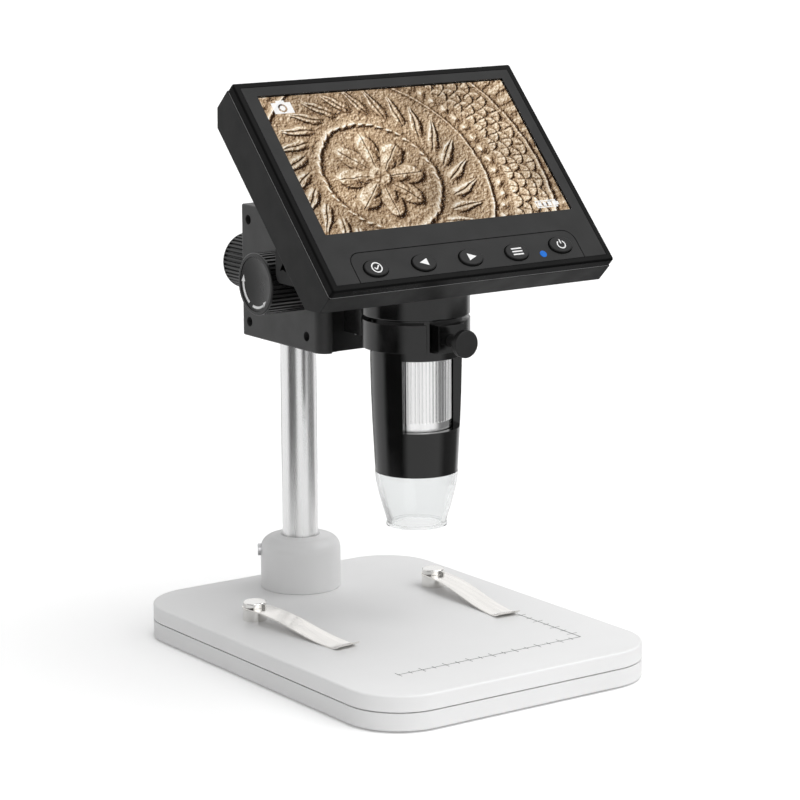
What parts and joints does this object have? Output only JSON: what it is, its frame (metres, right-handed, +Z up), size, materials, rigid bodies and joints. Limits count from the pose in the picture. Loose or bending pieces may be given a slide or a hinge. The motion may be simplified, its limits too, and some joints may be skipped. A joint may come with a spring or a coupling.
{
  "type": "lcd digital microscope",
  "caption": "Desk microscope with a tilted screen, a lens barrel held in a clamp ring, a rack focus bracket on a post and a flat stage base with spring clips.",
  "frame": {"origin": "centre of the base's footprint, on the table", "axes": "+X to the right of a person facing the screen, +Y away from them towards the post, +Z up"},
  "size_m": [0.1108, 0.1621, 0.192],
  "materials": {
    "white_shell": "satin white",
    "white_stage": "satin white",
    "white_collar": "satin white",
    "raw_steel": "plain",
    "foot_rubber": "matt",
    "screw_steel": "plain",
    "polished_post": "polished",
    "black_cap": "satin black",
    "clip_chrome": "polished",
    "clip_spring": "fine brushed",
    "brass_bush": "plain",
    "black_block": "satin black",
    "dark_screw": "blackened",
    "black_knob": "semi-gloss black",
    "knob_disc": "gloss black",
    "black_slide": "satin black",
    "black_arm": "satin black",
    "black_thumb": "matt black",
    "black_housing": "fine matt black",
    "black_frame": "gloss black edge",
    "grey_face": "dark satin",
    "grey_keys": "dark satin",
    "grey_button": "dark satin",
    "screen_glass": "clear",
    "display": "lit picture",
    "blue_lamp": "lit blue",
    "green_board": "solder mask",
    "lamp_board": "white mask",
    "lamp_white": "clear dome",
    "socket_metal": "plain",
    "battery_wrap": "film",
    "black_barrel": "satin black",
    "black_ring": "matt black",
    "clear_plastic": "clear moulded",
    "silver_wheel": "ribbed satin silver",
    "lens_glass": "coated"
  },
  "bodies": {
    "stand": {"base_tray": "white_shell", "base_cover": "white_stage", "ballast_plate": "raw_steel", "rubber_feet": "foot_rubber", "base_screws": "screw_steel", "post_collar": "white_collar", "collar_screw": "screw_steel", "post": "polished_post", "post_bolt": "screw_steel", "post_cap": "black_cap", "clip_studs": "clip_chrome", "clip_caps": "clip_chrome"},
    "sleeve": {"post_sleeve": "brass_bush"},
    "bracket": {"bracket_left": "black_block", "bracket_right": "black_block", "bracket_screws": "dark_screw", "lock_nut": "brass_bush", "pinion_bushes": "brass_bush"},
    "lock_screw": {"lock_knob": "black_knob", "lock_stud": "screw_steel"},
    "focus_drive": {"pinion_shaft": "screw_steel", "focus_knob_left": "black_knob", "focus_knob_right": "black_knob", "focus_knob_discs": "knob_disc"},
    "slide": {"carriage": "black_slide", "rack": "raw_steel", "rack_screws": "screw_steel", "clamp_arm": "black_arm", "arm_dowels": "screw_steel"},
    "clamp_screw": {"clamp_knob": "black_thumb", "clamp_stud": "dark_screw"},
    "head": {"head_shell": "black_housing", "front_frame": "black_frame", "face_panel": "grey_face", "key_plate": "grey_keys", "screen_glass": "screen_glass", "display": "display", "status_lamp": "blue_lamp", "main_board": "green_board", "card_socket": "socket_metal", "usb_socket": "socket_metal", "battery": "battery_wrap", "head_screws": "dark_screw", "neck_tube": "black_barrel", "neck_nut": "black_ring", "barrel_shell": "black_barrel", "led_board": "lamp_board", "leds": "lamp_white", "clear_tip": "clear_plastic", "sensor_board": "green_board"},
    "wheel": {"focus_wheel": "silver_wheel"},
    "lens_unit": {"lens_carrier": "black_ring", "lens": "lens_glass"},
    "left_clip": {"left_clip": "clip_spring"},
    "right_clip": {"right_clip": "clip_spring"},
    "confirm_button": {"confirm_button": "grey_button"},
    "previous_button": {"previous_button": "grey_button"},
    "next_button": {"next_button": "grey_button"},
    "menu_button": {"menu_button": "grey_button"},
    "power_button": {"power_button": "grey_button"}
  },
  "joints": [
    {"name": "bracket_height", "type": "slide", "parent": "stand", "child": "sleeve", "axis": [0, 0, 1], "range_m": [-0.018, 0.022]},
    {"name": "bracket_swivel", "type": "hinge", "parent": "sleeve", "child": "bracket", "pos_m": [0, 0.0548, 0.12], "axis": [0, 0, 1], "range_deg": [-60, 60]},
    {"name": "lock_turn", "type": "hinge", "parent": "bracket", "child": "lock_screw", "pos_m": [0, 0.078, 0.1218], "axis": [0, 1, 0], "range_deg": [-30, 330]},
    {"name": "focus_slide", "type": "slide", "parent": "bracket", "child": "slide", "axis": [0, 0, 1], "range_m": [-0.01, 0.012]},
    {"name": "focus_turn", "type": "hinge", "parent": "bracket", "child": "focus_drive", "pos_m": [0, 0.0272, 0.1244], "axis": [1, 0, 0], "range_deg": [-166, 139]},
    {"name": "clamp_turn", "type": "hinge", "parent": "slide", "child": "clamp_screw", "pos_m": [0, -0.036, 0.111], "axis": [0, 1, 0], "range_deg": [-30, 330]},
    {"name": "head_lift", "type": "slide", "parent": "slide", "child": "head", "axis": [0, 0, 1], "range_m": [-0.001, 0.006]},
    {"name": "fine_focus_turn", "type": "hinge", "parent": "head", "child": "wheel", "pos_m": [0, -0.0145, 0.0915], "axis": [0, 0, 1], "range_deg": [-180, 180]},
    {"name": "lens_travel", "type": "slide", "parent": "head", "child": "lens_unit", "axis": [0, 0, 1], "range_m": [-0.0041, 0.0041]},
    {"name": "left_clip_swing", "type": "hinge", "parent": "stand", "child": "left_clip", "pos_m": [-0.0365, 0.027, 0.016], "axis": [0, 0, 1], "range_deg": [-80, 30]},
    {"name": "right_clip_swing", "type": "hinge", "parent": "stand", "child": "right_clip", "pos_m": [0.0365, 0.027, 0.016], "axis": [0, 0, 1], "range_deg": [-30, 80]},
    {"name": "confirm_press", "type": "slide", "parent": "head", "child": "confirm_button", "axis": [0, 0.722, -0.6919], "range_m": [0, 0.0006], "stiffness_N_per_m": 800, "springref_m": -0.001},
    {"name": "previous_press", "type": "slide", "parent": "head", "child": "previous_button", "axis": [0, 0.722, -0.6919], "range_m": [0, 0.0006], "stiffness_N_per_m": 800, "springref_m": -0.001},
    {"name": "next_press", "type": "slide", "parent": "head", "child": "next_button", "axis": [0, 0.722, -0.6919], "range_m": [0, 0.0006], "stiffness_N_per_m": 800, "springref_m": -0.001},
    {"name": "menu_press", "type": "slide", "parent": "head", "child": "menu_button", "axis": [0, 0.722, -0.6919], "range_m": [0, 0.0006], "stiffness_N_per_m": 800, "springref_m": -0.001},
    {"name": "power_press", "type": "slide", "parent": "head", "child": "power_button", "axis": [0, 0.722, -0.6919], "range_m": [0, 0.0006], "stiffness_N_per_m": 800, "springref_m": -0.001}
  ],
  "couplings": [
    {"joint": "focus_turn", "follows": "focus_slide", "rad_per_m": -238.1},
    {"joint": "lens_travel", "follows": "fine_focus_turn", "m_per_rad": 0.0012732}
  ]
}
